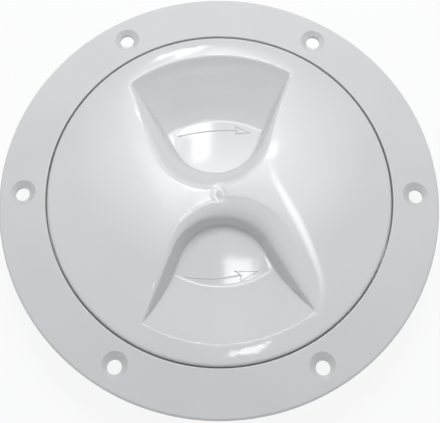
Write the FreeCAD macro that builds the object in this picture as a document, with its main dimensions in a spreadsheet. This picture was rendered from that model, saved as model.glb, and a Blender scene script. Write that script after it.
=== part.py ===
import FreeCAD, Part
import math
import os

import Sketcher

# A screw-in deck inspection plate: a flanged ring that is screwed to the deck,
# and a round lid that unscrews from it, with an O-ring in a groove of the lid.
# Z = 0 is the deck, where the flange's underside lies. +Z points up, out of it.
# The room between the skirt and the ring's bore holds a coarse right-hand thread,
# so seen from above the lid opens anticlockwise.

Vector = FreeCAD.Vector
Rotation = FreeCAD.Rotation
Placement = FreeCAD.Placement

driving_sizes = [
    # Flange of the ring, slightly coned up to the lid
    ("flange_diameter", 145.0),
    ("flange_edge_height", 2.0),
    ("flange_inner_height", 4.2),
    ("flange_edge_chamfer", 0.7),
    ("seam_edge_chamfer", 0.35),
    # Screw holes in the flange; their place is a share of its width, from the seam
    ("screw_place", 0.52077),
    ("screw_count", 6),
    ("screw_hole_diameter", 4.7),
    ("countersink_diameter", 8.4),
    ("countersink_angle", 90.0),
    # Collar that drops through the deck, stepped in a little below the flange
    ("collar_step", 0.1),
    ("collar_wall", 3.35),
    ("collar_depth", 20.0),
    ("collar_chamfer", 0.8),
    # Seat for the lid's rim, and the smooth land that its seal slides into
    ("seam_gap", 0.45),
    ("rim_seat_gap", 0.3),
    ("seal_land_depth", 3.2),
    ("seal_gap", 0.25),
    ("seal_lead_in", 0.6),
    # Lid
    ("lid_diameter", 112.8),
    ("lid_top_height", 4.5),
    ("lid_thickness", 3.0),
    ("lid_edge_round", 1.1),
    ("lid_edge_facets", 4),
    # Skirt of the lid, and the room for the thread between it and the bore
    ("thread_room", 2.3),
    ("skirt_depth", 17.0),
    ("skirt_wall", 2.5),
    ("skirt_chamfer", 0.8),
    # O-ring, its groove under the lid's rim, and the shoulder below the groove
    ("seal_section", 2.5),
    ("seal_play", 0.15),
    ("seal_facets", 8),
    ("shoulder_height", 1.6),
    ("shoulder_gap", 0.3),
    # Finger wells: two drafted wedges, half a turn apart, cut by a bowl. They stand a
    # little towards their soft side, which the large rounding widens at the top.
    ("well_azimuth", 95.0),
    ("well_depth", 9.2),
    ("well_rim_width", 7.2),
    ("well_side_offset", 7.4),
    ("well_side_shift", 0.6),
    ("well_side_lean", 25.0),
    ("well_apex_radius", 6.7),
    ("well_draft", 15.5),
    ("well_slope_run", 20.6),
    ("well_bend_round", 6.0),
    ("well_slope_radius", 64.0),
    ("well_wall", 3.0),
    ("well_overrun", 2.0),
    # Rounding of the wells: the rim grows from the sharp side to the soft side
    ("well_floor_round", 0.8),
    ("well_far_round", 1.4),
    ("grip_round_sharp_corner", 0.9),
    ("grip_round_sharp_apex", 2.5),
    ("grip_round_soft_apex", 8.0),
    ("grip_round_soft_corner", 1.3),
]

document = FreeCAD.newDocument("deck_inspection_plate")
sheet = document.addObject("Spreadsheet::Sheet", "size")
for row, (alias, value) in enumerate(driving_sizes, start=1):
    sheet.set("A%d" % row, alias)
    sheet.set("B%d" % row, str(value))
    sheet.setAlias("B%d" % row, alias)
document.recompute()

# Radii and heights that several pieces share, worked out from the sheet
flange_radius = "size.flange_diameter / 2"
lid_radius = "size.lid_diameter / 2"
recess_radius = lid_radius + " + size.seam_gap"
flange_width = "(" + flange_radius + " - (" + recess_radius + "))"
screw_circle_radius = recess_radius + " + size.screw_place * " + flange_width
collar_radius = recess_radius + " - size.collar_step"
bore_radius = collar_radius + " - size.collar_wall"
shoulder_radius = bore_radius + " - size.shoulder_gap"
skirt_radius = bore_radius + " - size.thread_room"
well_reach_radius = lid_radius + " - size.well_rim_width"
well_floor_radius = well_reach_radius + " - size.well_slope_run"
seal_centre_radius = skirt_radius + " + size.seal_play + size.seal_section / 2"
land_radius = skirt_radius + " + size.seal_play + size.seal_section + size.seal_gap"
lid_underside = "size.lid_top_height - size.lid_thickness"
rim_seat = lid_underside + " - size.rim_seat_gap"
seal_centre_height = lid_underside + " - size.seal_play - size.seal_section / 2"
groove_floor_height = lid_underside + " - 2 * size.seal_play - size.seal_section"
flange_fall = "(size.flange_inner_height - size.flange_edge_height)"


def number(expression):
    """What an expression over the sheet comes to."""
    return float(sheet.evalExpression(expression.replace("size.", "")))


def origin_plane(body, role):
    """One of a body's own origin planes."""
    return [item for item in body.Origin.OriginFeatures if item.Role == role][0]


def new_body(label):
    """An empty body that is named for its piece."""
    body = document.addObject("PartDesign::Body", label)
    body.Label = label
    return body


def new_sketch(body, name, role):
    """A sketch on one of the body's own planes."""
    sketch = body.newObject("Sketcher::SketchObject", name)
    sketch.AttachmentSupport = (origin_plane(body, role), "")
    sketch.MapMode = "FlatFace"
    return sketch


def bind(sketch, kind, *parts):
    """A dimension whose value, the last part, is an expression over the sheet."""
    *places, expression = parts
    value = number(expression)
    if kind == "Angle":
        value = math.radians(value)
    index = sketch.addConstraint(Sketcher.Constraint(kind, *places, value))
    sketch.setExpression("Constraints[%d]" % index, expression)


def place_point(sketch, edge, end, across, up):
    """Fix a point of a sketch by its distances from the two axes."""
    if across == "0":
        sketch.addConstraint(Sketcher.Constraint("PointOnObject", edge, end, -2))
    else:
        bind(sketch, "DistanceX", -1, 1, edge, end, across)
    if up == "0":
        sketch.addConstraint(Sketcher.Constraint("PointOnObject", edge, end, -1))
    else:
        bind(sketch, "DistanceY", -1, 1, edge, end, up)


def draw_outline(sketch, corners):
    """A closed outline of straight edges; each corner is a pair of expressions."""
    places = [Vector(number(across), number(up), 0) for across, up in corners]
    for start, end in zip(places, places[1:] + places[:1]):
        sketch.addGeometry(Part.LineSegment(start, end), False)
    count = len(corners)
    for edge in range(count):
        following = (edge + 1) % count
        sketch.addConstraint(Sketcher.Constraint("Coincident", edge, 2, following, 1))
    for edge, (across, up) in enumerate(corners):
        place_point(sketch, edge, 1, across, up)


def revolve(body, name, corners):
    """Turn an outline of radii and heights about the vertical axis."""
    sketch = new_sketch(body, name + "_section", "XZ_Plane")
    draw_outline(sketch, corners)
    document.recompute()
    feature = body.newObject("PartDesign::Revolution", name)
    feature.Profile = sketch
    feature.ReferenceAxis = (sketch, ["V_Axis"])
    feature.Angle = 360
    document.recompute()
    return feature


def circle_edges(shape, radius, height):
    """Names of a turned shape's full circles at one radius and height."""
    names = []
    for index, edge in enumerate(shape.Edges, start=1):
        if not isinstance(edge.Curve, Part.Circle):
            continue
        same_radius = abs(edge.Curve.Radius - radius) < 1e-4
        same_height = abs(edge.Curve.Center.z - height) < 1e-4
        if same_radius and same_height:
            names.append("Edge%d" % index)
    return names


def finish_edge(body, kind, name, value_name, radius, height, expression):
    """Round or chamfer the circle of a turned body at one radius and height."""
    base = body.Tip
    feature = body.newObject(kind, name)
    feature.Base = (base, circle_edges(base.Shape, number(radius), number(height)))
    feature.setExpression(value_name, expression)
    document.recompute()
    return feature


def make_ring():
    """Flange, seat and collar, moulded in one."""
    ring = new_body("deck_ring")
    collar_bottom = "-size.collar_depth"
    land_bottom = "-size.seal_land_depth"
    revolve(ring, "ring_blank", [
        (collar_radius, "0"),
        (flange_radius, "0"),
        (flange_radius, "size.flange_edge_height"),
        (recess_radius, "size.flange_inner_height"),
        (recess_radius, rim_seat),
        (land_radius + " + size.seal_lead_in", rim_seat),
        (land_radius, rim_seat + " - size.seal_lead_in"),
        (land_radius, land_bottom),
        (bore_radius, land_bottom),
        (bore_radius, collar_bottom),
        (collar_radius, collar_bottom),
    ])
    finish_edge(ring, "PartDesign::Chamfer", "flange_edge_break", "Size",
                flange_radius, "size.flange_edge_height", "size.flange_edge_chamfer")
    finish_edge(ring, "PartDesign::Chamfer", "seam_edge_break", "Size",
                recess_radius, "size.flange_inner_height", "size.seam_edge_chamfer")
    finish_edge(ring, "PartDesign::Chamfer", "collar_lead_in", "Size",
                collar_radius, collar_bottom, "size.collar_chamfer")
    drill_screw_holes(ring)
    return ring


def drill_screw_holes(ring):
    """Countersunk holes round the flange, set square to the deck."""
    sketch = new_sketch(ring, "screw_hole_centre", "XY_Plane")
    sketch.setExpression("AttachmentOffset.Base.z", "size.flange_inner_height")
    circle = Part.Circle(Vector(number(screw_circle_radius), 0, 0),
                         Vector(0, 0, 1), number("size.screw_hole_diameter / 2"))
    sketch.addGeometry(circle, False)
    place_point(sketch, 0, 3, screw_circle_radius, "0")
    bind(sketch, "Radius", 0, "size.screw_hole_diameter / 2")
    document.recompute()
    hole = ring.newObject("PartDesign::Hole", "screw_hole")
    hole.Profile = sketch
    document.recompute()
    hole.DepthType = "ThroughAll"
    hole.ThreadType = "None"
    hole.HoleCutType = "Countersink"
    hole.HoleCutCustomValues = True
    hole.DrillPoint = "Flat"
    hole.setExpression("Diameter", "size.screw_hole_diameter")
    hole.setExpression("HoleCutCountersinkAngle", "size.countersink_angle")
    # The cone starts level with the flange's highest point, above the sloping
    # surface, and has its stated diameter where it meets the screw circle.
    rise = "size.screw_place * " + flange_fall
    hole.setExpression(
        "HoleCutDiameter",
        "size.countersink_diameter + 2 * " + rise + " * tan(size.countersink_angle / 2)",
    )
    document.recompute()
    pattern = ring.newObject("PartDesign::PolarPattern", "screw_holes")
    pattern.Originals = [hole]
    pattern.Axis = (sketch, ["N_Axis"])
    pattern.Angle = 360
    pattern.setExpression("Occurrences", "size.screw_count")
    ring.Tip = pattern
    document.recompute()


def make_seal():
    """The O-ring in the groove under the lid's rim, its round section in facets."""
    section = document.addObject("Part::RegularPolygon", "seal_section_outline")
    section.setExpression("Polygon", "size.seal_facets")
    section.setExpression("Circumradius", "size.seal_section / 2")
    section.Placement = Placement(Vector(0, 0, 0), Rotation(Vector(1, 0, 0), 90))
    section.setExpression("Placement.Base.x", seal_centre_radius)
    section.setExpression("Placement.Base.z", seal_centre_height)
    seal = document.addObject("Part::Revolution", "o_ring")
    seal.Label = "o_ring"
    seal.Source = section
    seal.Axis = Vector(0, 0, 1)
    seal.Solid = True
    document.recompute()
    return seal


def make_cap():
    """Lid without its wells: top, rim, seal groove and skirt."""
    cap = new_body("lid_cap")
    skirt_bottom = "-size.skirt_depth"
    shoulder_bottom = groove_floor_height + " - size.shoulder_height"
    skirt_inside = skirt_radius + " - size.skirt_wall"
    facets = round(number("size.lid_edge_facets"))
    rounded_edge = []
    for corner in range(facets + 1):
        turn = "%d * 90 / size.lid_edge_facets" % corner
        rounded_edge.append((
            lid_radius + " - size.lid_edge_round * (1 - cos(" + turn + "))",
            "size.lid_top_height - size.lid_edge_round * (1 - sin(" + turn + "))",
        ))
    revolve(cap, "cap_blank", [
        ("0", lid_underside),
        (skirt_inside, lid_underside),
        (skirt_inside, skirt_bottom),
        (skirt_radius, skirt_bottom),
        (skirt_radius, shoulder_bottom),
        (shoulder_radius, shoulder_bottom),
        (shoulder_radius, groove_floor_height),
        (skirt_radius, groove_floor_height),
        (skirt_radius, lid_underside),
        (lid_radius, lid_underside),
        *rounded_edge,
        ("0", "size.lid_top_height"),
    ])
    finish_edge(cap, "PartDesign::Chamfer", "skirt_lead_in", "Size",
                skirt_radius, skirt_bottom, "size.skirt_chamfer")
    return cap


def draw_wedge(sketch, apex, side):
    """Plan of a well: two leaning sides, joined by a round apex, open outwards."""
    lean = math.radians(number("size.well_side_lean"))
    far = number("size.lid_diameter / 2")
    apex_distance = number(apex)
    side_distance = number(side)
    # The apex arc touches both sides, so its centre follows from their distances.
    radius = (side_distance + apex_distance * math.sin(lean)) / (1 - math.sin(lean))
    centre = apex_distance + radius
    touch = Vector(radius * math.cos(lean), centre - radius * math.sin(lean), 0)
    outer_half = (side_distance + far * math.sin(lean)) / math.cos(lean)
    outer = Vector(outer_half, far, 0)
    mirrored_touch = Vector(-touch.x, touch.y, 0)
    mirrored_outer = Vector(-outer.x, outer.y, 0)
    apex_point = Vector(0, apex_distance, 0)
    right, arc, left, closing, tip = range(5)
    sketch.addGeometry(Part.LineSegment(outer, touch), False)
    sketch.addGeometry(Part.Arc(mirrored_touch, apex_point, touch), False)
    sketch.addGeometry(Part.LineSegment(mirrored_touch, mirrored_outer), False)
    sketch.addGeometry(Part.LineSegment(mirrored_outer, outer), False)
    sketch.addGeometry(Part.Point(apex_point), True)
    constrain = Sketcher.Constraint
    sketch.addConstraint(constrain("Tangent", right, 2, arc, 2))
    sketch.addConstraint(constrain("Tangent", arc, 1, left, 1))
    sketch.addConstraint(constrain("Coincident", left, 2, closing, 1))
    sketch.addConstraint(constrain("Coincident", closing, 2, right, 1))
    sketch.addConstraint(constrain("Symmetric", right, 1, left, 2, -2))
    sketch.addConstraint(constrain("PointOnObject", arc, 3, -2))
    sketch.addConstraint(constrain("PointOnObject", tip, 1, -2))
    sketch.addConstraint(constrain("PointOnObject", tip, 1, arc))
    bind(sketch, "DistanceY", -1, 1, tip, 1, apex)
    bind(sketch, "Distance", -1, 1, right, side)
    bind(sketch, "DistanceY", -1, 1, right, 1, "size.lid_diameter / 2")
    bind(sketch, "Angle", left, "90 + size.well_side_lean")


def make_well(label, drop, start_height, turn):
    """Solid of a well down to its bowl, or of the shell that the well leaves below.

    drop is how far the shell's walls stand outside the well, and nought for
    the well itself.
    """
    body = new_body(label)
    depth_at_start = "(size.lid_top_height - (" + start_height + "))"
    inset = depth_at_start + " * tan(size.well_draft) - " + drop + " / cos(size.well_draft)"
    plan = new_sketch(body, label + "_plan", "XY_Plane")
    plan.setExpression("AttachmentOffset.Base.x", "size.well_side_shift")
    plan.setExpression("AttachmentOffset.Base.z", start_height)
    draw_wedge(plan, "size.well_apex_radius + " + inset, "size.well_side_offset - (" + inset + ")")
    document.recompute()
    wedge = body.newObject("PartDesign::Pad", label + "_wedge")
    wedge.Profile = plan
    wedge.Reversed = True
    below_top = "size.lid_top_height - size.well_depth - 2 * size.well_wall"
    wedge.setExpression("Length", start_height + " - (" + below_top + ")")
    wedge.setExpression("TaperAngle", "-size.well_draft")
    document.recompute()
    cut_below_bowl(body, label, drop)
    body.Placement = Placement(Vector(0, 0, 0), Rotation(Vector(0, 0, 1), 90))
    body.setExpression("Placement.Rotation.Angle", "size.well_azimuth - 90 + %d" % turn)
    document.recompute()
    return body


def cut_below_bowl(body, label, drop):
    """Turn away what lies under the flat floor and the slope that rises outwards."""
    floor_height = "size.lid_top_height - size.well_depth - " + drop
    rim_height = "size.lid_top_height - " + drop
    end_height = "size.lid_top_height + 2 * size.well_overrun"
    low_height = floor_height + " - 4 * size.well_wall"
    floor = number(floor_height)
    floor_radius = number(well_floor_radius)
    bend = number("size.well_bend_round")
    slope = number("size.well_slope_radius")
    reach = number(well_reach_radius)
    rise = number(rim_height)
    outer_radius = "size.lid_diameter"
    outer = number(outer_radius)
    # The slope's arc touches the bend's arc from inside and passes the rim point.
    gap = slope - bend
    bend_centre = Vector(floor_radius, floor + bend, 0)
    rim = Vector(reach, rise, 0)
    span = rim - bend_centre
    along = (slope * slope - gap * gap - span.Length ** 2) / (-2 * span.Length)
    aside = math.sqrt(gap * gap - along * along)
    unit = Vector(span).normalize()
    slope_centre = bend_centre + unit * along + Vector(-unit.y, unit.x, 0) * aside
    touch = slope_centre + (bend_centre - slope_centre) * (slope / gap)
    end = number(end_height)
    end_point = Vector(slope_centre.x + math.sqrt(slope ** 2 - (slope_centre.y - end) ** 2), end, 0)

    def arc_between(centre, radius, start, finish):
        first = math.atan2(start.y - centre.y, start.x - centre.x)
        last = math.atan2(finish.y - centre.y, finish.x - centre.x)
        return Part.ArcOfCircle(Part.Circle(centre, Vector(0, 0, 1), radius), first, last)

    sketch = new_sketch(body, label + "_bowl", "XZ_Plane")
    start_point = Vector(0, floor, 0)
    floor_end = Vector(floor_radius, floor, 0)
    corner = Vector(outer, end, 0)
    low_corner = Vector(outer, number(low_height), 0)
    low_start = Vector(0, number(low_height), 0)
    flat, bend_arc, slope_arc, top, side, base, axis, rim_point = range(8)
    sketch.addGeometry(Part.LineSegment(start_point, floor_end), False)
    sketch.addGeometry(arc_between(bend_centre, bend, floor_end, touch), False)
    sketch.addGeometry(arc_between(slope_centre, slope, touch, end_point), False)
    sketch.addGeometry(Part.LineSegment(end_point, corner), False)
    sketch.addGeometry(Part.LineSegment(corner, low_corner), False)
    sketch.addGeometry(Part.LineSegment(low_corner, low_start), False)
    sketch.addGeometry(Part.LineSegment(low_start, start_point), False)
    sketch.addGeometry(Part.Point(rim), True)
    constrain = Sketcher.Constraint
    sketch.addConstraint(constrain("Tangent", flat, 2, bend_arc, 1))
    sketch.addConstraint(constrain("Tangent", bend_arc, 2, slope_arc, 1))
    sketch.addConstraint(constrain("Coincident", slope_arc, 2, top, 1))
    sketch.addConstraint(constrain("Coincident", top, 2, side, 1))
    sketch.addConstraint(constrain("Coincident", side, 2, base, 1))
    sketch.addConstraint(constrain("Coincident", base, 2, axis, 1))
    sketch.addConstraint(constrain("Coincident", axis, 2, flat, 1))
    sketch.addConstraint(constrain("Horizontal", flat))
    sketch.addConstraint(constrain("PointOnObject", rim_point, 1, slope_arc))
    bind(sketch, "Radius", bend_arc, "size.well_bend_round")
    bind(sketch, "Radius", slope_arc, "size.well_slope_radius")
    place_point(sketch, flat, 1, "0", floor_height)
    bind(sketch, "DistanceX", -1, 1, flat, 2, well_floor_radius)
    place_point(sketch, rim_point, 1, well_reach_radius, rim_height)
    bind(sketch, "DistanceY", -1, 1, slope_arc, 2, end_height)
    place_point(sketch, side, 1, outer_radius, end_height)
    place_point(sketch, base, 1, outer_radius, low_height)
    place_point(sketch, axis, 1, "0", low_height)
    document.recompute()
    before = body.Shape.Volume
    bowl = body.newObject("PartDesign::Groove", label + "_bowl_cut")
    bowl.Profile = sketch
    bowl.ReferenceAxis = (sketch, ["V_Axis"])
    bowl.Angle = 360
    document.recompute()
    if body.Shape.Volume >= before:
        raise ValueError(label + ": the bowl cut nothing away")


def well_roundings(shape, turn):
    """Edges of one well with the radius at each end, as a fillet wants them."""
    top_height = number("size.lid_top_height")
    floor_height = number("size.lid_top_height - size.well_depth")
    nearest = number("size.well_apex_radius") - 1e-3
    reach = number(well_reach_radius)
    middle = math.radians(number("size.well_azimuth") + turn)

    def distance(point):
        return math.hypot(point.x, point.y)

    def turned(point):
        return math.remainder(math.atan2(point.y, point.x) - middle, math.tau)

    def halfway(edge):
        return edge.valueAt((edge.FirstParameter + edge.LastParameter) / 2)

    def edges_at(height):
        """This well's edges at one height, each with its number in the shape."""
        level = []
        for index, edge in enumerate(shape.Edges, start=1):
            point = halfway(edge)
            ends = [edge.valueAt(edge.FirstParameter), edge.valueAt(edge.LastParameter)]
            in_well = abs(turned(point)) < math.pi / 2 and nearest < distance(point) < reach + 1
            if in_well and max(abs(end.z - height) for end in ends) < 1e-4:
                level.append((index, edge))
        return level

    rim = edges_at(top_height)
    far = max(rim, key=lambda item: distance(halfway(item[1])))
    rim.remove(far)
    floor = min(edges_at(floor_height), key=lambda item: distance(halfway(item[1])))
    rim.sort(key=lambda item: turned(halfway(item[1])))
    # The grip's rounding along the rim: sharp side, apex, then the soft side. The
    # pairs run the way that the sharp side's own curve runs.
    radii = [number("size.grip_round_" + place)
             for place in ("sharp_corner", "sharp_apex", "soft_apex", "soft_corner")]
    pairs = list(zip(radii, radii[1:]))
    sharp = rim[0][1]
    if distance(sharp.valueAt(sharp.FirstParameter)) < distance(sharp.valueAt(sharp.LastParameter)):
        pairs = [(second, first) for first, second in pairs]
    roundings = [(index, first, second) for (index, _), (first, second) in zip(rim, pairs)]
    far_round = number("size.well_far_round")
    floor_round = number("size.well_floor_round")
    return roundings + [(far[0], far_round, far_round), (floor[0], floor_round, floor_round)]


def make_lid():
    """Cap, with the two wells, their shells below and the rounded grip."""
    cap = make_cap()
    shells = []
    hollows = []
    for number_of_well, turn in enumerate((0, 180), start=1):
        shells.append(make_well("well_shell_%d" % number_of_well, "size.well_wall",
                                "size.lid_top_height - size.lid_thickness / 2", turn))
        hollows.append(make_well("well_hollow_%d" % number_of_well, "0",
                                 "size.lid_top_height + size.well_overrun", turn))
    walls = document.addObject("Part::MultiFuse", "lid_with_shells")
    walls.Shapes = [cap] + shells
    walls.Refine = True
    void = document.addObject("Part::MultiFuse", "well_hollows")
    void.Shapes = hollows
    hollowed = document.addObject("Part::Cut", "lid_hollowed")
    hollowed.Base = walls
    hollowed.Tool = void
    document.recompute()
    rounded = hollowed
    for number_of_well, turn in enumerate((0, 180), start=1):
        rounding = document.addObject("Part::Fillet", "well_rounding_%d" % number_of_well)
        rounding.Base = rounded
        rounding.Edges = well_roundings(rounded.Shape, turn)
        document.recompute()
        rounded = rounding
    rounded.Label = "lid"
    return rounded


pieces = [make_ring(), make_lid(), make_seal()]
document.recompute()

for item in document.Objects:
    if "Invalid" in item.State or "Error" in item.State:
        raise ValueError(item.Label + " failed: " + ", ".join(item.State))

os.makedirs("parts", exist_ok=True)
for piece in pieces:
    shape = piece.Shape
    if shape.isNull() or not shape.isValid() or len(shape.Solids) != 1:
        raise ValueError(piece.Label + " isn't one valid solid")
    print("%-10s %9.1f mm3, %d faces" % (piece.Label, shape.Volume, len(shape.Faces)))

for piece in pieces:
    piece.Shape.exportStep("parts/%s.step" % piece.Label)
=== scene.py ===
import bisect
import math

import bmesh
import bpy
from mathutils import Matrix, Vector


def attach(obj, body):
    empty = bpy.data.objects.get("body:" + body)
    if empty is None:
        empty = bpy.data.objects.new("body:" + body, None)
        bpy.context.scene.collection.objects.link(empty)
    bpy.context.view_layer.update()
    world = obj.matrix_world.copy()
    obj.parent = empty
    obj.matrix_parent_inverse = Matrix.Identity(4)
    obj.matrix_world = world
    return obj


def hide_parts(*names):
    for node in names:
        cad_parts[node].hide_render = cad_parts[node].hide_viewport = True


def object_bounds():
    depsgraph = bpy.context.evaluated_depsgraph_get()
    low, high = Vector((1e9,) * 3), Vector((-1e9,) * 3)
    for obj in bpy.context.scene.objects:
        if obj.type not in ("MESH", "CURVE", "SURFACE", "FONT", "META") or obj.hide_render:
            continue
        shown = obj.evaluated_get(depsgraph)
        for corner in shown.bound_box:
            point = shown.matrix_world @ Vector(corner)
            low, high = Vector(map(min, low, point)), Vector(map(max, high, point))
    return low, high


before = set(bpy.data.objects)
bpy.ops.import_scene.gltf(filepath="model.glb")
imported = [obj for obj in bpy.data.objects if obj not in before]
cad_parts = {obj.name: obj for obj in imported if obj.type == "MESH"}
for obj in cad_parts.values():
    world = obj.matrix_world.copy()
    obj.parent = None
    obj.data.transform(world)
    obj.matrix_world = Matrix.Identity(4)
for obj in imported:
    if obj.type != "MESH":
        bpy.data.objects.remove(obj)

# Looks of a white screw-in deck inspection plate: a flanged ring, the lid that screws into it,
# and the O-ring between them. The dictionaries hold mm and degrees, and Z = 0 is the deck.
cadBox = [list(corner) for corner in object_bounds()]
mm = 0.001
# the plate's radius, its lowest and its highest place, as the frame has them
plate = dict(radius=round(cadBox[1][0] / mm, 2), foot=round(cadBox[0][2] / mm, 2),
             top=round(cadBox[1][2] / mm, 2))
weld = dict(fine=0.001, usual=0.002, coarse=0.005)    # points nearer than this are made one


# Small helpers that every piece shares
def linearColour(hexText):
    # sRGB hex to the linear values that the shader sockets take, by the standard's own curve
    parts = [int(hexText[i:i + 2], 16) / 255 for i in (1, 3, 5)]
    return [p / 12.92 if p <= 0.04045 else ((p + 0.055) / 1.055) ** 2.4 for p in parts] + [1.0]


def addNode(tree, kind, inputs=None, **settings):
    # a shader node with its settings; an input is a value or the socket that feeds it
    node = tree.nodes.new(kind)
    for name, value in settings.items():
        setattr(node, name, value)
    for name, value in (inputs or {}).items():
        if isinstance(value, bpy.types.NodeSocket):
            tree.links.new(value, node.inputs[name])
        else:
            node.inputs[name].default_value = value
    return node


def emptyMaterial(name):
    material = bpy.data.materials.new(name)
    material.use_nodes = True
    material.node_tree.nodes.clear()
    return material, material.node_tree


def addObject(name, data, material=None):
    thing = bpy.data.objects.new(name, data)
    bpy.context.scene.collection.objects.link(thing)
    if material:
        data.materials.append(material)
    return thing


def meshFromBmesh(bm, name):
    mesh = bpy.data.meshes.new(name)
    bm.to_mesh(mesh)
    bm.free()
    return mesh


def smoothStep(start, end, value):
    # 0 at start, 1 at end, with a soft change between them; end may be the lower one
    share = max(0.0, min(1.0, (value - start) / (end - start)))
    return share * share * (3 - 2 * share)


def levelDirection(degrees):
    # unit vector along the deck, at an angle from X
    angle = math.radians(degrees)
    return Vector((math.cos(angle), math.sin(angle), 0))


def smoothByAngle(bm, degrees):
    # soft shading, kept crisp where two faces meet at more than this angle
    limit = math.radians(degrees)
    for face in bm.faces:
        face.smooth = True
    for edge in bm.edges:
        edge.smooth = len(edge.link_faces) == 2 and edge.calc_face_angle(0) < limit


def weightNormals(thing):
    modifier = thing.modifiers.new("evenNormals", "WEIGHTED_NORMAL")
    modifier.keep_sharp = True


def spinProfile(bm, points, steps):
    # a closed outline of (radius, height) turned once round the plate's axis
    corners = [bm.verts.new((r * mm, 0, z * mm)) for r, z in points]
    edges = [bm.edges.new(pair) for pair in zip(corners, corners[1:] + corners[:1])]
    bmesh.ops.spin(bm, geom=corners + edges, cent=(0, 0, 0), axis=(0, 0, 1), dvec=(0, 0, 0),
                   angle=math.tau, steps=steps, use_merge=True, use_duplicate=False)
    bmesh.ops.remove_doubles(bm, verts=bm.verts, dist=weld["usual"] * mm)
    bmesh.ops.recalc_face_normals(bm, faces=bm.faces)


def roundEdges(bm, edges, width, segments):
    bmesh.ops.bevel(bm, geom=edges, offset=width * mm, offset_type="OFFSET", affect="EDGES",
                    segments=segments, profile=0.5, material=-1, clamp_overlap=True)


def roundCircle(bm, radius, height, width, segments):
    # rounds the circular edge at one radius and height
    reach = 0.02 * mm

    def onCircle(vert):
        away = abs(math.hypot(vert.co.x, vert.co.y) - radius * mm)
        return away < reach and abs(vert.co.z - height * mm) < reach

    edges = [edge for edge in bm.edges if all(onCircle(vert) for vert in edge.verts)]
    roundEdges(bm, edges, width, segments)


def appliedMesh(thing):
    # the mesh that a curve or an object with modifiers comes to
    graph = bpy.context.evaluated_depsgraph_get()
    return bpy.data.meshes.new_from_object(thing.evaluated_get(graph))


def dress(piece, body, slot, *nodes):
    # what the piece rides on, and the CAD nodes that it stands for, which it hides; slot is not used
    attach(piece, body)
    if nodes:
        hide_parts(*nodes)


# Finishes
noiseLow, noiseHigh = 0.3, 0.7                 # nearly all of a noise lies between these values


def addNoise(tree, place, patch, detail, roughness):
    # noise whose patches are about this many mm across
    return addNode(tree, "ShaderNodeTexNoise", {
        "Vector": place, "Scale": 1 / (patch * mm), "Detail": detail,
        "Roughness": roughness}).outputs["Fac"]


def makeMouldedAbs(name, plastic):
    # White ABS, injection moulded in a polished tool: an even milky white under a clear gloss,
    # whose reflections waver a little because the thick walls shrank as they cooled.
    material, tree = emptyMaterial(name)
    place = addNode(tree, "ShaderNodeTexCoord").outputs["Object"]
    sink = addNoise(tree, place, plastic["sinkWave"], detail=1.0, roughness=0.4)
    polish = addNoise(tree, place, plastic["polishMark"], detail=2.0, roughness=0.5)
    waves = addNode(tree, "ShaderNodeBump", {
        "Height": sink, "Distance": plastic["sinkHeight"] * mm, "Strength": 1.0})
    marks = addNode(tree, "ShaderNodeBump", {
        "Height": polish, "Distance": plastic["polishHeight"] * mm, "Strength": 1.0,
        "Normal": waves.outputs["Normal"]})
    flow = addNode(tree, "ShaderNodeMapRange", {
        "Value": sink, "From Min": noiseLow, "From Max": noiseHigh})
    colour = addNode(tree, "ShaderNodeMix", {
        "Factor": flow.outputs["Result"], "A": linearColour(plastic["shade"]),
        "B": linearColour(plastic["colour"])}, data_type="RGBA")
    gloss = addNode(tree, "ShaderNodeMapRange", {
        "Value": polish, "From Min": noiseLow, "From Max": noiseHigh,
        "To Min": plastic["smoothest"], "To Max": plastic["roughest"]})
    shader = addNode(tree, "ShaderNodeBsdfPrincipled", {
        "Base Color": colour.outputs["Result"], "Roughness": gloss.outputs["Result"],
        "IOR": plastic["ior"], "Normal": marks.outputs["Normal"]})
    addNode(tree, "ShaderNodeOutputMaterial", {"Surface": shader.outputs["BSDF"]})
    return material


def makeNitrileRubber(name, rubber):
    # Black nitrile, compression moulded and dusted: dull dark grey with a faint bloom.
    material, tree = emptyMaterial(name)
    place = addNode(tree, "ShaderNodeTexCoord").outputs["Object"]
    bloom = addNoise(tree, place, rubber["bloomPatch"], detail=3.0, roughness=0.6)
    grit = addNoise(tree, place, rubber["grit"], detail=2.0, roughness=0.6)
    colour = addNode(tree, "ShaderNodeMix", {
        "Factor": bloom, "A": linearColour(rubber["colour"]),
        "B": linearColour(rubber["bloom"])}, data_type="RGBA")
    bumps = addNode(tree, "ShaderNodeBump", {
        "Height": grit, "Distance": rubber["gritHeight"] * mm, "Strength": 1.0})
    shader = addNode(tree, "ShaderNodeBsdfPrincipled", {
        "Base Color": colour.outputs["Result"], "Roughness": rubber["roughness"],
        "IOR": rubber["ior"], "Normal": bumps.outputs["Normal"]})
    addNode(tree, "ShaderNodeOutputMaterial", {"Surface": shader.outputs["BSDF"]})
    return material


whiteAbs = makeMouldedAbs("whiteMouldedAbs", dict(
    colour="#DDDDDB", shade="#DADAD8",
    smoothest=0.045, roughest=0.07, ior=1.53,
    sinkWave=22.0, sinkHeight=0.05,            # slow waves of shrinkage, mm across and deep
    polishMark=0.9, polishHeight=0.0008))      # the tool's hand polish, drawn coarser than real
blackNitrile = makeNitrileRubber("blackNitrileRubber", dict(
    colour="#2A2A2B", bloom="#3A3A3C", roughness=0.62, ior=1.52,
    bloomPatch=6.0, grit=0.25, gritHeight=0.01))
print("stage: finishes")


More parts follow.
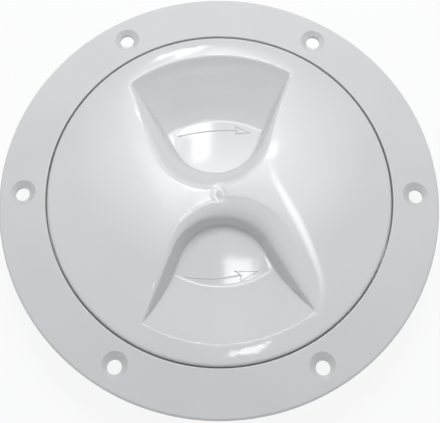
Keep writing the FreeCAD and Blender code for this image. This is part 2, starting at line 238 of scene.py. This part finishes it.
# Deck ring: flange, seat and collar, turned from one outline and drilled
ring = dict(
    outerRadius=plate["radius"], flangeEdge=2.0, flangeInner=4.2,
    seamRadius=56.85, seatHeight=1.2, leadIn=0.6, landRadius=54.0, landFoot=-3.2,
    boreRadius=53.4, collarRadius=56.75, collarFoot=plate["foot"],
    outerRound=0.9, seamRound=0.4, footBreak=0.8, underRound=0.25, steps=256, crispFrom=28)
screwHole = dict(circle=65.0, count=6, radius=2.35, sinkRadius=4.2, steps=64, overrun=3.0)
# the rounded edge of a countersink, and how its edges are told from the others
sinkRim = dict(round=0.18, segments=2, reach=0.7, above=2.0, angle=30.0)


def flangeHeight(radius):
    # the flange's upper face is a shallow cone
    share = (ring["outerRadius"] - radius) / (ring["outerRadius"] - ring["seamRadius"])
    return ring["flangeEdge"] + share * (ring["flangeInner"] - ring["flangeEdge"])


def makeHoleCutter():
    # plain drills with 90 degree countersinks, one for each screw
    sinkTop = flangeHeight(screwHole["circle"])
    sinkFoot = sinkTop - (screwHole["sinkRadius"] - screwHole["radius"])
    overrun = screwHole["overrun"]
    drill = bmesh.new()
    spinProfile(drill, [
        (0, -overrun), (screwHole["radius"], -overrun), (screwHole["radius"], sinkFoot),
        (screwHole["sinkRadius"], sinkTop), (screwHole["sinkRadius"] + overrun, sinkTop + overrun),
        (0, sinkTop + overrun)], screwHole["steps"])
    drill.transform(Matrix.Translation((screwHole["circle"] * mm, 0, 0)))
    one = meshFromBmesh(drill, "drill")
    drills = bmesh.new()
    for _ in range(screwHole["count"]):
        drills.from_mesh(one)
        bmesh.ops.rotate(drills, verts=drills.verts, cent=(0, 0, 0),
                         matrix=Matrix.Rotation(math.tau / screwHole["count"], 3, "Z"))
    bpy.data.meshes.remove(one)
    return addObject("holeCutter", meshFromBmesh(drills, "holeCutter"))


def isSinkRim(edge):
    # the edge where a countersink meets the flange's face
    pitch = math.tau / screwHole["count"]
    for vert in edge.verts:
        nearest = round(math.atan2(vert.co.y, vert.co.x) / pitch) * pitch
        centre = levelDirection(math.degrees(nearest)).xy * screwHole["circle"] * mm
        off = abs((vert.co.xy - centre).length - screwHole["sinkRadius"] * mm)
        if off > sinkRim["reach"] * mm or vert.co.z < sinkRim["above"] * mm:
            return False
    return edge.calc_face_angle(0) > math.radians(sinkRim["angle"])


def makeRing():
    bm = bmesh.new()
    spinProfile(bm, [
        (ring["collarRadius"], 0), (ring["outerRadius"], 0),
        (ring["outerRadius"], ring["flangeEdge"]), (ring["seamRadius"], ring["flangeInner"]),
        (ring["seamRadius"], ring["seatHeight"]),
        (ring["landRadius"] + ring["leadIn"], ring["seatHeight"]),
        (ring["landRadius"], ring["seatHeight"] - ring["leadIn"]),
        (ring["landRadius"], ring["landFoot"]), (ring["boreRadius"], ring["landFoot"]),
        (ring["boreRadius"], ring["collarFoot"]), (ring["collarRadius"], ring["collarFoot"]),
    ], ring["steps"])
    roundCircle(bm, ring["outerRadius"], ring["flangeEdge"], ring["outerRound"], segments=5)
    roundCircle(bm, ring["seamRadius"], ring["flangeInner"], ring["seamRound"], segments=4)
    roundCircle(bm, ring["collarRadius"], ring["collarFoot"], ring["footBreak"], segments=1)
    roundCircle(bm, ring["outerRadius"], 0, ring["underRound"], segments=2)
    body = addObject("ringBody", meshFromBmesh(bm, "ringBody"), whiteAbs)
    cutter = makeHoleCutter()
    cut = body.modifiers.new("screwHoles", "BOOLEAN")
    cut.operation, cut.solver, cut.object = "DIFFERENCE", "EXACT", cutter
    body.data = appliedMesh(body)
    body.modifiers.clear()
    bpy.data.objects.remove(cutter)
    bm = bmesh.new()
    bm.from_mesh(body.data)
    bmesh.ops.remove_doubles(bm, verts=bm.verts, dist=weld["fine"] * mm)
    rims = [edge for edge in bm.edges if len(edge.link_faces) == 2 and isSinkRim(edge)]
    roundEdges(bm, rims, sinkRim["round"], sinkRim["segments"])
    smoothByAngle(bm, ring["crispFrom"])
    bm.to_mesh(body.data)
    bm.free()
    weightNormals(body)
    dress(body, "deck_ring", "white_plastic", "deck_ring")


makeRing()
print("stage: deck ring")


# Screw threads: one coarse right-hand ridge in the ring's bore and one round the lid's skirt
thread = dict(pitch=4.5, depth=2.0, rootWidth=2.5, crestWidth=1.2, bedded=0.4, stepsPerTurn=96,
              runOut=24.0, sunkEnd=0.1, crispFrom=25)
skirtRadius = 51.1


def makeThread(name, body, rootRadius, outwards, startHeight, turns):
    # a ridge that stands on the wall at the root radius, outwards (1) or inwards (-1)
    base = rootRadius - outwards * thread["bedded"]
    crestRadius = rootRadius + outwards * thread["depth"]
    half, tip = thread["rootWidth"] / 2, thread["crestWidth"] / 2
    section = [(base, -half), (rootRadius, -half), (crestRadius, -tip),
               (crestRadius, tip), (rootRadius, half), (base, half)]
    steps = round(thread["stepsPerTurn"] * turns)
    total = math.tau * turns
    bm = bmesh.new()
    verts = [bm.verts.new((r * mm, 0, (startHeight + z) * mm)) for r, z in section]
    edges = [bm.edges.new(pair) for pair in zip(verts, verts[1:] + verts[:1])]
    bm.faces.new(verts)
    done = bmesh.ops.spin(bm, geom=verts + edges, cent=(0, 0, 0), axis=(0, 0, 1),
                          dvec=(0, 0, thread["pitch"] * turns * mm / steps),
                          angle=total, steps=steps, use_merge=False, use_duplicate=False)
    last = [item for item in done["geom_last"] if not isinstance(item, bmesh.types.BMFace)]
    bmesh.ops.contextual_create(bm, geom=last)
    # both ends run out into the wall, as a moulded thread does
    for vert in bm.verts:
        radius = math.hypot(vert.co.x, vert.co.y) / mm
        angle = math.atan2(vert.co.y, vert.co.x) % math.tau
        climbed = (vert.co.z / mm - startHeight) / thread["pitch"] * math.tau
        along = angle + math.tau * round((climbed - angle) / math.tau)
        share = max(0.0, min(1.0, min(along, total - along) / math.radians(thread["runOut"])))
        above = (radius - rootRadius) * outwards
        if above > 0:
            radius = rootRadius + outwards * (above * share - (1 - share) * thread["sunkEnd"])
            vert.co.xy = levelDirection(math.degrees(angle)).xy * radius * mm
    bmesh.ops.recalc_face_normals(bm, faces=bm.faces)
    smoothByAngle(bm, thread["crispFrom"])
    piece = addObject(name, meshFromBmesh(bm, name), whiteAbs)
    weightNormals(piece)
    dress(piece, body, "white_plastic")


makeThread("ringThread", "deck_ring", ring["boreRadius"], outwards=-1, startHeight=-16.85, turns=2.5)
makeThread("lidThread", "lid", skirtRadius, outwards=1, startHeight=-14.6, turns=2.0)
print("stage: threads")


# O-ring under the lid's rim, round where the CAD ring has facets
seal = dict(centreRadius=52.5, centreHeight=0.1, sectionRadius=1.25, sectionSteps=24, steps=192,
            crispFrom=40)


def makeSeal():
    angles = [math.tau * step / seal["sectionSteps"] for step in range(seal["sectionSteps"])]
    bm = bmesh.new()
    spinProfile(bm, [(seal["centreRadius"] + seal["sectionRadius"] * math.cos(angle),
                      seal["centreHeight"] + seal["sectionRadius"] * math.sin(angle))
                     for angle in angles], seal["steps"])
    smoothByAngle(bm, seal["crispFrom"])
    piece = addObject("sealRing", meshFromBmesh(bm, "sealRing"), blackNitrile)
    dress(piece, "o_ring", "seal_rubber", "o_ring")


makeSeal()
print("stage: seal")


# Lid: the CAD form with a shallow S-shaped hollow pressed into its top, fuller roundings and
# tilted floors in its wells, and the mark of the moulding gate in the middle
wells = dict(turn=95.0, floor=-4.7)            # direction of the rear well, the other is opposite
wellOut = levelDirection(wells["turn"])
hollow = dict(
    # crest where the flat sector on the +X side starts to fall to the middle, as (y, x);
    # the other side is the same, half a turn on
    crest=[(-48, 37.5), (-32.3, 33.7), (-25.2, 31.4), (-18.7, 29.1), (-10.0, 25.4), (-1.9, 21.0),
           (5.0, 17.4), (11.3, 16.7), (16.9, 18.1), (25.6, 20.3), (34.7, 23.1), (48, 27.2)],
    slope=0.048, crestRound=3.0, valleyRound=6.0,
    fadeFrom=38.0, fadeTo=53.5,                # radii between which it comes to nothing
    # heights between which the walls take it up, in the middle and far out, and the radii there
    foot=-2.0, head=3.0, farFoot=1.2, farHead=3.8, farFrom=30.0, farTo=42.0)
# the floors turn about a line at this distance from the middle, and above the fade height
# nothing moves
tilt = dict(angle=2.5, middle=18.0, fadeHeight=-1.5, reach=49.0, spare=0.1)
# the wells' roundings are fuller than an arc: their walls stay high and then drop quicker
fullness = dict(rise=1.5, foot=-3.9, head=plate["top"] - 0.05, reach=50.0, upward=0.05, change=0.2)
gate = dict(x=-0.17, y=-0.32, dimple=1.7, lip=1.6, depth=0.06, stub=0.7, stubEdge=0.4, stubHeight=0.2,
            oval=0.12, ovalTurn=1.0, lobes=0.09)
grid = dict(step=1.5, reach=54.0, fineStep=0.4, fineReach=4.4, lowest=-2.0, upward=0.15)
lidCrispFrom = 32


def crestLine(y):
    # smooth curve through the crest points: its x at y, and its slope there. Between points 1
    # and 2 it is a cubic that starts with the slope m1 and ends with the slope m2.
    points = hollow["crest"]
    y = max(points[0][0], min(points[-1][0], y))
    i = max(1, min(len(points) - 3, bisect.bisect([p[0] for p in points], y) - 1))
    (y0, x0), (y1, x1), (y2, x2), (y3, x3) = points[i - 1:i + 3]
    m1 = (x2 - x0) / (y2 - y0)
    m2 = (x3 - x1) / (y3 - y1)
    h = y2 - y1
    t = (y - y1) / h
    x = ((2 * t ** 3 - 3 * t ** 2 + 1) * x1 + (t ** 3 - 2 * t ** 2 + t) * h * m1
         + (-2 * t ** 3 + 3 * t ** 2) * x2 + (t ** 3 - t ** 2) * h * m2)
    slope = ((6 * t ** 2 - 6 * t) * x1 + (3 * t ** 2 - 4 * t + 1) * h * m1
             + (-6 * t ** 2 + 6 * t) * x2 + (3 * t ** 2 - 2 * t) * h * m2) / h
    return x, slope


def fallFrom(distance):
    # how far the surface has fallen at a distance inside one crest, which is softly rounded
    soft = hollow["crestRound"]
    if distance <= -soft:
        return 0.0
    if distance < soft:
        return hollow["slope"] * (distance + soft) ** 2 / (4 * soft)
    return hollow["slope"] * distance


def hollowAt(x, y):
    # how far the lid's middle lies below its flat sectors
    falls = []
    for side in (1, -1):
        crest, slope = crestLine(side * y)
        falls.append(fallFrom((crest - side * x) / math.hypot(1, slope)))
    # the two slopes meet in a rounded valley
    valley = hollow["valleyRound"] * hollow["slope"]
    near = max(0.0, 1 - abs(falls[0] - falls[1]) / valley)
    fall = max(0.0, min(falls) - near * near * valley / 4)
    return fall * (1 - smoothStep(hollow["fadeFrom"], hollow["fadeTo"], math.hypot(x, y)))


def hollowShare(radius, height):
    # share of the hollow that a point takes on: all of it on top, none of it low on a wall
    far = smoothStep(hollow["farFrom"], hollow["farTo"], radius)
    foot = hollow["foot"] + far * (hollow["farFoot"] - hollow["foot"])
    head = hollow["head"] + far * (hollow["farHead"] - hollow["head"])
    return smoothStep(foot, head, height)


def gateAt(x, y):
    # height of the gate mark: a shallow dimple, not quite round, with a broken stub in it
    dx, dy = x - gate["x"], y - gate["y"]
    turn = math.atan2(dy, dx)
    uneven = gate["oval"] * math.sin(2 * turn + gate["ovalTurn"]) + gate["lobes"] * math.sin(3 * turn)
    away = math.hypot(dx, dy) * (1 + uneven)
    dip = gate["depth"] * (1 - smoothStep(gate["dimple"], gate["dimple"] + gate["lip"], away))
    edge = smoothStep(gate["stub"] - gate["stubEdge"], gate["stub"] + gate["stubEdge"], away)
    return gate["stubHeight"] * (1 - edge) - dip


def tiltAt(x, y, height):
    # the wells' floors fall a little towards their outer ends, and the walls take that up
    out = abs(x * wellOut.x + y * wellOut.y)
    share = smoothStep(tilt["fadeHeight"], wells["floor"], height)
    return -math.tan(math.radians(tilt["angle"])) * (out - tilt["middle"]) * share


def fullnessAt(vert):
    # how far a wall is raised above its arc: most at half height, and nothing where a floor
    # slopes up, which faces the middle of the lid
    x, y, height = vert.co / mm
    share = (height - fullness["foot"]) / (fullness["head"] - fullness["foot"])
    elsewhere = vert.normal.z < fullness["upward"] or math.hypot(x, y) > fullness["reach"]
    if elsewhere or not 0 < share < 1:
        return 0.0
    outwards = vert.normal.dot(wellOut) * math.copysign(1, vert.co.dot(wellOut))
    facing = outwards / max(vert.normal.xy.length, 0.001)
    bulge = 4 * share * (1 - share)
    return fullness["rise"] * bulge * smoothStep(-fullness["change"], fullness["change"], facing)


def pressAt(x, y, height):
    # change of height from the tilt of the floors, the hollow and the gate mark
    radius = math.hypot(x, y)
    change = 0.0
    if wells["floor"] - tilt["spare"] < height < tilt["fadeHeight"] and radius < tilt["reach"]:
        change += tiltAt(x, y, height)
    share = hollowShare(radius, height)
    if share > 0:
        change -= hollowAt(x, y) * share
        if radius < grid["fineReach"]:
            change += gateAt(x, y)
    return change


def cutGrid(bm, step, reach):
    # cuts the upper side along a square grid, so that its shallow form can be pressed in
    lines = int(reach / step)
    for normal in (Vector((1, 0, 0)), Vector((0, 1, 0))):
        across = Vector((normal.y, normal.x, 0))
        for number in range(-lines, lines + 1):
            level = number * step * mm
            faces = []
            for face in bm.faces:
                if face.normal.z < grid["upward"]:
                    continue
                along = [vert.co.dot(normal) for vert in face.verts]
                if not min(along) < level < max(along):
                    continue
                middle = face.calc_center_median()
                if middle.z > grid["lowest"] * mm and abs(middle.dot(across)) < reach * mm:
                    faces.append(face)
            edges = list({edge for face in faces for edge in face.edges})
            verts = list({vert for face in faces for vert in face.verts})
            bmesh.ops.bisect_plane(bm, geom=verts + edges + faces, dist=0.5 * weld["fine"] * mm,
                                   plane_co=normal * level, plane_no=normal)


def makeLid():
    bm = bmesh.new()
    bm.from_mesh(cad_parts["lid"].data)
    bmesh.ops.remove_doubles(bm, verts=bm.verts, dist=weld["usual"] * mm)
    cutGrid(bm, grid["step"], grid["reach"])
    cutGrid(bm, grid["fineStep"], grid["fineReach"])
    bmesh.ops.triangulate(bm, faces=bm.faces)
    bm.normal_update()
    for vert in bm.verts:
        x, y, height = vert.co / mm
        vert.co.z += (fullnessAt(vert) + pressAt(x, y, height)) * mm
    smoothByAngle(bm, lidCrispFrom)
    body = addObject("lidBody", meshFromBmesh(bm, "lidBody"), whiteAbs)
    weightNormals(body)
    dress(body, "lid", "white_plastic", "lid")
    print("stage: lid", len(body.data.polygons), "faces")


makeLid()


# Arrows moulded on the wells' floors, as thin raised lines. Places are (along, out) in each
# well: along runs to the plate's +X side, out runs from the middle to the rim.
arrowLine = dict(radius=0.27, roundSteps=3, curveSteps=12, crispFrom=50)
arrows = dict(
    arrowRear=dict(turn=wells["turn"],
                   shaft=[(-12.3, 24.4), (-6.0, 25.35), (0.5, 25.65), (4.5, 25.4), (8.2, 25.0)],
                   head=[(12.46, 23.73), (7.7, 26.55), (8.2, 25.0), (7.8, 23.73)]),
    arrowFront=dict(turn=wells["turn"] + 180,
                    shaft=[(-13.7, 24.9), (-7.5, 26.35), (-1.5, 26.75), (2.5, 26.35), (4.9, 25.95)],
                    head=[(10.64, 25.25), (3.09, 24.62), (4.9, 25.95), (4.76, 28.12)]))


def makeArrow(name, arrow):
    out = levelDirection(arrow["turn"])
    along = levelDirection(wells["turn"] - 90)
    curve = bpy.data.curves.new(name, "CURVE")
    curve.dimensions = "3D"
    curve.bevel_depth = arrowLine["radius"] * mm
    curve.bevel_resolution = arrowLine["roundSteps"]
    curve.use_fill_caps = True

    def addLine(kind, places):
        line = curve.splines.new(kind)
        line.points.add(len(places) - 1)
        for point, (toRight, toRim) in zip(line.points, places):
            place = along * toRight + out * toRim
            place.z = wells["floor"] + tiltAt(place.x, place.y, wells["floor"])
            point.co = (*place * mm, 1)
        return line

    shaft = addLine("NURBS", arrow["shaft"])
    shaft.order_u = 4
    shaft.use_endpoint_u = True
    shaft.resolution_u = arrowLine["curveSteps"]
    head = addLine("POLY", arrow["head"])
    head.use_cyclic_u = True
    sketch = addObject(name + "Line", curve)
    bm = bmesh.new()
    bm.from_mesh(appliedMesh(sketch))
    bpy.data.objects.remove(sketch)
    bmesh.ops.remove_doubles(bm, verts=bm.verts, dist=weld["coarse"] * mm)
    bmesh.ops.recalc_face_normals(bm, faces=bm.faces)
    smoothByAngle(bm, arrowLine["crispFrom"])
    dress(addObject(name, meshFromBmesh(bm, name), whiteAbs), "lid", "white_plastic")


for name, arrow in arrows.items():
    makeArrow(name, arrow)
print("stage: arrows")


# Camera at the photograph's place, 276 mm from the plate's middle, looking 17 degrees off its axis
view = dict(
    place=(-1.44, -84.07, 263.05), right=(0.99997, 0.00331, 0.00721), up=(-0.00524, 0.95794, 0.28694),
    lens=68.07, sensor=36.0)


def makeCamera():
    data = bpy.data.cameras.new("camera")
    data.lens, data.sensor_width, data.sensor_fit = view["lens"], view["sensor"], "HORIZONTAL"
    data.clip_start, data.clip_end = 0.01, 20
    camera = addObject("camera", data)
    right, up = Vector(view["right"]).normalized(), Vector(view["up"]).normalized()
    turn = Matrix((right, up, right.cross(up))).transposed().to_4x4()
    camera.matrix_world = Matrix.Translation(Vector(view["place"]) * mm) @ turn
    bpy.context.scene.camera = camera


# Pale paper floor just under the collar, a room that is lighter overhead than at its sides, two
# soft lamps overhead, and the small bright panes that show in the gloss
studio = dict(
    floorHeight=plate["foot"] - 0.05, floorSize=12000.0, floorTone="#F2F2F0", floorWhite=0.88,
    sideLight=0.37, topLight=0.50, topLean=20.0, topFocus=4.0, tint="#F1F5FF")
white = (1, 1, 1, 1)
# Each lamp's place, size along X and Y, turn about Z and radiance. Feather is the share of the
# half size over which it fades out, as an oval, or with straight edges where it is square.
# The first lights the plate and stays out of the gloss.
lamps = [
    dict(name="keyLamp", place=(0, 230, 430), size=(300, 300), radiance=3.3, feather=0.1, inGloss=False),
    dict(name="softbox", place=(5, 315, 800), size=(400, 330), radiance=4.8, feather=1.0),
    dict(name="paneFar", place=(-38, 338, 600), size=(60, 24), radiance=8.0, feather=0.3, square=True),
    dict(name="paneFarLow", place=(-22, 318, 600), size=(20, 44), radiance=7.0, feather=0.4, square=True),
    dict(name="paneMiddle", place=(30, 247, 600), size=(64, 34), radiance=4.0, feather=0.5),
    dict(name="paneNear", place=(28, 50, 600), size=(34, 44), radiance=6.5, feather=0.15, square=True),
    dict(name="paneLong", place=(62, 150, 600), size=(42, 172), turn=21, radiance=5.0, feather=0.6),
]


def seenPlainly(tree):
    # 1 where the camera, a gloss or a clear material looks, 0 for the light that falls on things
    path = addNode(tree, "ShaderNodeLightPath")
    seen = addNode(tree, "ShaderNodeMath", {
        0: path.outputs["Is Camera Ray"], 1: path.outputs["Is Glossy Ray"]}, operation="MAXIMUM")
    return addNode(tree, "ShaderNodeMath", {
        0: seen.outputs["Value"], 1: path.outputs["Is Transmission Ray"]},
        operation="MAXIMUM").outputs["Value"]


def makeFloor():
    bm = bmesh.new()
    bmesh.ops.create_grid(bm, x_segments=8, y_segments=8, size=studio["floorSize"] * mm / 2)
    bmesh.ops.translate(bm, verts=bm.verts, vec=(0, 0, studio["floorHeight"] * mm))
    material, tree = emptyMaterial("palePaper")
    paper = addNode(tree, "ShaderNodeBsdfDiffuse", {"Color": linearColour(studio["floorTone"])})
    glow = addNode(tree, "ShaderNodeEmission", {"Color": white, "Strength": 1.0})
    share = addNode(tree, "ShaderNodeMath", {
        0: seenPlainly(tree), 1: studio["floorWhite"]}, operation="MULTIPLY")
    upper = addNode(tree, "ShaderNodeMixShader", {
        "Fac": share.outputs["Value"], 1: paper.outputs["BSDF"], 2: glow.outputs["Emission"]})
    # nothing from below, so that the plate's underside can be looked at
    below = addNode(tree, "ShaderNodeNewGeometry").outputs["Backfacing"]
    clear = addNode(tree, "ShaderNodeBsdfTransparent")
    sided = addNode(tree, "ShaderNodeMixShader", {
        "Fac": below, 1: upper.outputs["Shader"], 2: clear.outputs["BSDF"]})
    addNode(tree, "ShaderNodeOutputMaterial", {"Surface": sided.outputs["Shader"]})
    addObject("studioFloor", meshFromBmesh(bm, "studioFloor"), material)


def makeRoom():
    world = bpy.data.worlds.new("studioRoom")
    bpy.context.scene.world = world
    world.use_nodes = True
    tree = world.node_tree
    tree.nodes.clear()
    direction = addNode(tree, "ShaderNodeTexCoord").outputs["Generated"]
    lean = math.radians(studio["topLean"])
    facing = addNode(tree, "ShaderNodeVectorMath", {
        0: direction, 1: (0, math.sin(lean), math.cos(lean))}, operation="DOT_PRODUCT")
    above = addNode(tree, "ShaderNodeMath", {0: facing.outputs["Value"], 1: 0.0}, operation="MAXIMUM")
    overhead = addNode(tree, "ShaderNodeMath", {
        0: above.outputs["Value"], 1: studio["topFocus"]}, operation="POWER")
    tint = linearColour(studio["tint"])[:3]
    sides = [v * studio["sideLight"] for v in tint] + [1]
    top = [v * (studio["sideLight"] + studio["topLight"]) for v in tint] + [1]
    light = addNode(tree, "ShaderNodeMix", {
        "Factor": overhead.outputs["Value"], "A": sides, "B": top}, data_type="RGBA")
    room = addNode(tree, "ShaderNodeMix", {
        "Factor": seenPlainly(tree), "A": light.outputs["Result"], "B": white}, data_type="RGBA")
    air = addNode(tree, "ShaderNodeBackground", {"Color": room.outputs["Result"], "Strength": 1.0})
    addNode(tree, "ShaderNodeOutputWorld", {"Surface": air.outputs["Background"]})


def awayFromCentre(tree, square):
    # how far a point of a lamp lies from its centre, 1 at the edges of the lamp or of its oval
    place = addNode(tree, "ShaderNodeNewGeometry").outputs["Parametric"]
    centred = addNode(tree, "ShaderNodeVectorMath", {0: place, 1: (0.5, 0.5, 0)}, operation="SUBTRACT")
    offset = addNode(tree, "ShaderNodeVectorMath", {
        0: centred.outputs["Vector"], 1: (2, 2, 0)}, operation="MULTIPLY").outputs["Vector"]
    if not square:
        return addNode(tree, "ShaderNodeVectorMath", {0: offset}, operation="LENGTH").outputs["Value"]
    unsigned = addNode(tree, "ShaderNodeVectorMath", {0: offset}, operation="ABSOLUTE")
    parts = addNode(tree, "ShaderNodeSeparateXYZ", {"Vector": unsigned.outputs["Vector"]})
    return addNode(tree, "ShaderNodeMath", {
        0: parts.outputs["X"], 1: parts.outputs["Y"]}, operation="MAXIMUM").outputs["Value"]


def makeLamp(lamp):
    data = bpy.data.lights.new(lamp["name"], "AREA")
    width, height = [side * mm for side in lamp["size"]]
    data.shape, data.size, data.size_y = "RECTANGLE", width, height
    data.energy = 4 * width * height * lamp["radiance"]    # watts that give this radiance
    data.use_nodes = True
    tree = data.node_tree
    tree.nodes.clear()
    # fades towards the lamp's edges, so that no hard outline shows in the gloss
    fade = addNode(tree, "ShaderNodeMapRange", {
        "Value": awayFromCentre(tree, lamp.get("square", False)),
        "From Min": 1 - lamp["feather"], "From Max": 1.0, "To Min": 1.0, "To Max": 0.0})
    glow = addNode(tree, "ShaderNodeEmission", {"Color": white, "Strength": fade.outputs["Result"]})
    addNode(tree, "ShaderNodeOutputLight", {"Surface": glow.outputs["Emission"]})
    thing = addObject(lamp["name"], data)
    thing.location = Vector(lamp["place"]) * mm
    thing.rotation_euler.z = math.radians(lamp.get("turn", 0))
    thing.visible_glossy = lamp.get("inGloss", True)


makeCamera()
makeFloor()
makeRoom()
for lamp in lamps:
    makeLamp(lamp)
bpy.context.scene.view_settings.view_transform = "Standard"
print("stage: camera and studio")
